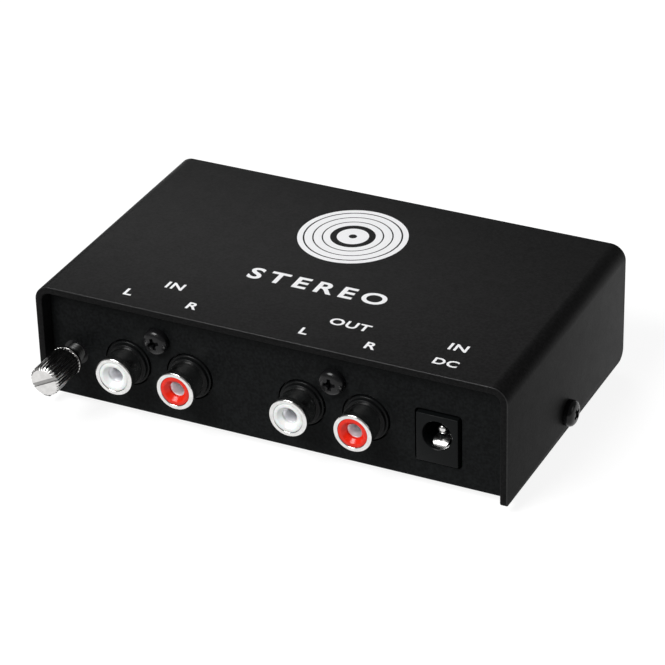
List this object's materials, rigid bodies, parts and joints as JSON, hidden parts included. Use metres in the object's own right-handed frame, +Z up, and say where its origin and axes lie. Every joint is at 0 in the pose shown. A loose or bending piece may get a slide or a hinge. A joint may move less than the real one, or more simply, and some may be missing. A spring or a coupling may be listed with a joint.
{
  "type": "phono preamp",
  "caption": "Small folded-steel phono preamp with twin phono input and output sockets, a DC socket and an earth terminal with a knurled screw",
  "frame": {"origin": "bottom centre of the outer box, on the surface that the feet stand on", "axes": "+X to the right across the socket panel, +Y from the socket panel to the rear, +Z up"},
  "size_m": [0.1092, 0.0736, 0.0288],
  "materials": {
    "black_powder_coat": "satin powder coat",
    "black_screw": "gloss black finish on steel",
    "rubber_black": "matte",
    "nickel": "bright nickel plate",
    "steel": "zinc-plated steel",
    "black_plastic": "satin moulded",
    "white_plastic": "smooth moulded",
    "red_plastic": "smooth moulded",
    "tinned_contact": "tin plate",
    "board_green": "solder mask",
    "chip_black": "moulded",
    "can_sleeve": "shrink sleeve",
    "film_box": "boxed film",
    "resistor_body": "lacquer",
    "diode_black": "moulded",
    "lamp_lens": "tinted lens",
    "wire_green": "insulation"
  },
  "bodies": {
    "case": {"top_cover": "black_powder_coat", "chassis": "black_powder_coat", "rubber_feet": "rubber_black", "cover_screws": "black_screw", "socket_screws": "black_screw", "dc_socket_body": "black_plastic", "dc_centre_pin": "nickel", "dc_spring_contact": "nickel", "earth_bush": "black_screw", "earth_solder_lug": "tinned_contact", "earth_lock_washer": "steel", "earth_nut": "nickel", "earth_wire": "wire_green", "op_amps": "chip_black", "supply_capacitors": "can_sleeve", "coupling_capacitors": "can_sleeve", "film_capacitors": "film_box", "resistors": "resistor_body", "diodes": "diode_black", "voltage_regulators": "chip_black", "power_lamp": "lamp_lens", "circuit_board": "board_green", "board_standoffs": "steel", "board_screws": "steel", "input_socket_housing": "black_plastic", "input_left_shell": "nickel", "input_left_contact": "tinned_contact", "input_left_insulator": "white_plastic", "input_right_shell": "nickel", "input_right_contact": "tinned_contact", "input_right_insulator": "red_plastic", "output_socket_housing": "black_plastic", "output_left_shell": "nickel", "output_left_contact": "tinned_contact", "output_left_insulator": "white_plastic", "output_right_shell": "nickel", "output_right_contact": "tinned_contact", "output_right_insulator": "red_plastic"},
    "terminal_washer": {"earth_clamp_washer": "nickel"},
    "terminal_screw": {"earth_thumb_screw": "nickel"}
  },
  "joints": [
    {"name": "terminal_travel", "type": "slide", "parent": "case", "child": "terminal_washer", "axis": [0, 1, 0], "range_m": [-0.0021, 0.0035]},
    {"name": "terminal_turn", "type": "hinge", "parent": "terminal_washer", "child": "terminal_screw", "pos_m": [-0.0454, -0.02523, 0.01285], "axis": [0, 1, 0], "range_deg": [-1081, 1801]}
  ],
  "couplings": [
    {"joint": "terminal_turn", "follows": "terminal_travel", "rad_per_m": 8976}
  ]
}
